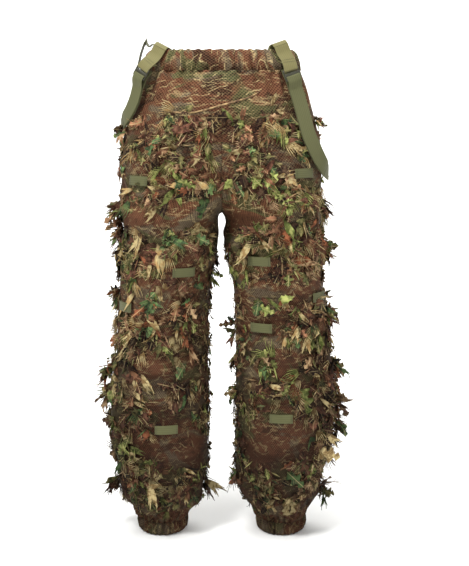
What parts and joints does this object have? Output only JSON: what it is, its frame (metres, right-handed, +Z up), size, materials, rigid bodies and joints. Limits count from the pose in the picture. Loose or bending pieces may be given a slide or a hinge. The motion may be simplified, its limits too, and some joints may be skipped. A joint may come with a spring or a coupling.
{
  "type": "ghillie trousers",
  "caption": "Camouflage mesh ghillie trousers with elastic waist and hems, rows of cut fabric leaves, foliage tabs and webbing braces.",
  "frame": {"origin": "middle of the waist opening, level with the waistband's top edge", "axes": "+Z up, -Y is the front, +X is the wearer's left"},
  "size_m": [0.5636, 0.3276, 1.0758],
  "materials": {
    "camo_mesh": "see-through polyester mesh printed with a brown, green and straw leaf camouflage",
    "leaf_cloth": "printed cloth cut into lobed leaves and grass, matt",
    "elastic_tape": "ribbed woven elastic",
    "olive_webbing": "woven olive webbing, slight sheen",
    "slider_nylon": "moulded olive-drab nylon"
  },
  "bodies": {
    "waist": {"waistband_casing": "camo_mesh", "waist_elastic": "elastic_tape", "hip_panel_front_left": "camo_mesh", "hip_panel_back_left": "camo_mesh", "hip_fold_left": "camo_mesh", "leaf_strip_hip_front_left": "leaf_cloth", "leaf_strip_hip_back_left": "leaf_cloth", "foliage_tab_hip_left": "olive_webbing", "brace_anchor_front_left": "olive_webbing", "brace_anchor_back_left": "olive_webbing", "hip_panel_front_right": "camo_mesh", "hip_panel_back_right": "camo_mesh", "hip_fold_right": "camo_mesh", "leaf_strip_hip_front_right": "leaf_cloth", "leaf_strip_hip_back_right": "leaf_cloth", "foliage_tab_hip_right": "olive_webbing", "brace_anchor_front_right": "olive_webbing", "brace_anchor_back_right": "olive_webbing"},
    "thigh_left": {"thigh_panel_front_left": "camo_mesh", "thigh_panel_back_left": "camo_mesh", "knee_fold_left": "camo_mesh", "leaf_strip_thigh_1_left": "leaf_cloth", "leaf_strip_thigh_2_left": "leaf_cloth", "leaf_strip_knee_left": "leaf_cloth", "foliage_tab_thigh_left": "olive_webbing", "foliage_tab_knee_side_left": "olive_webbing", "foliage_tab_knee_front_left": "olive_webbing"},
    "thigh_right": {"thigh_panel_front_right": "camo_mesh", "thigh_panel_back_right": "camo_mesh", "knee_fold_right": "camo_mesh", "leaf_strip_thigh_1_right": "leaf_cloth", "leaf_strip_thigh_2_right": "leaf_cloth", "leaf_strip_knee_right": "leaf_cloth", "foliage_tab_thigh_right": "olive_webbing", "foliage_tab_knee_side_right": "olive_webbing"},
    "shin_left": {"shin_panel_front_left": "camo_mesh", "shin_panel_back_left": "camo_mesh", "hem_casing_left": "camo_mesh", "hem_elastic_left": "elastic_tape", "leaf_strip_shin_1_left": "leaf_cloth", "leaf_strip_shin_2_left": "leaf_cloth", "leaf_strip_shin_3_left": "leaf_cloth", "foliage_tab_shin_left": "olive_webbing"},
    "shin_right": {"shin_panel_front_right": "camo_mesh", "shin_panel_back_right": "camo_mesh", "hem_casing_right": "camo_mesh", "hem_elastic_right": "elastic_tape", "leaf_strip_shin_1_right": "leaf_cloth", "leaf_strip_shin_2_right": "leaf_cloth", "leaf_strip_shin_3_right": "leaf_cloth", "foliage_tab_shin_right": "olive_webbing"},
    "brace_left": {"brace_front_strap_left": "olive_webbing", "brace_long_strap_left": "olive_webbing", "brace_return_strap_left": "olive_webbing"},
    "brace_right": {"brace_front_strap_right": "olive_webbing", "brace_long_strap_right": "olive_webbing", "brace_return_strap_right": "olive_webbing"},
    "slider_left": {"brace_slider_left": "slider_nylon"},
    "slider_right": {"brace_slider_right": "slider_nylon"}
  },
  "joints": [
    {"name": "hip_left", "type": "hinge", "parent": "waist", "child": "thigh_left", "pos_m": [0.108, 0, -0.25], "axis": [-1, 0, 0], "range_deg": [-15, 50], "deforming": ["hip_fold_left"]},
    {"name": "knee_left", "type": "hinge", "parent": "thigh_left", "child": "shin_left", "pos_m": [0.128, 0.015, -0.59], "axis": [1, 0, 0], "range_deg": [0, 70], "deforming": ["knee_fold_left", "leaf_strip_knee_left"]},
    {"name": "brace_swing_left", "type": "hinge", "parent": "waist", "child": "brace_left", "pos_m": [0.12169, -0.07312, 0.0066], "axis": [-0.023, -0.9997, 0.0074], "range_deg": [0, 150]},
    {"name": "slider_travel_left", "type": "slide", "parent": "brace_left", "child": "slider_left", "axis": [-0.2937, 0.0901, 0.9516], "range_m": [-0.02, 0.02]},
    {"name": "hip_right", "type": "hinge", "parent": "waist", "child": "thigh_right", "pos_m": [-0.108, 0, -0.25], "axis": [-1, 0, 0], "range_deg": [-15, 50], "deforming": ["hip_fold_right"]},
    {"name": "knee_right", "type": "hinge", "parent": "thigh_right", "child": "shin_right", "pos_m": [-0.128, 0.015, -0.59], "axis": [1, 0, 0], "range_deg": [0, 70], "deforming": ["knee_fold_right", "leaf_strip_knee_right"]},
    {"name": "brace_swing_right", "type": "hinge", "parent": "waist", "child": "brace_right", "pos_m": [-0.13022, -0.06752, 0.00176], "axis": [-0.2565, 0.9635, 0.0764], "range_deg": [0, 150]},
    {"name": "slider_travel_right", "type": "slide", "parent": "brace_right", "child": "slider_right", "axis": [0.538, -0.0896, 0.8382], "range_m": [-0.02, 0.02]}
  ]
}
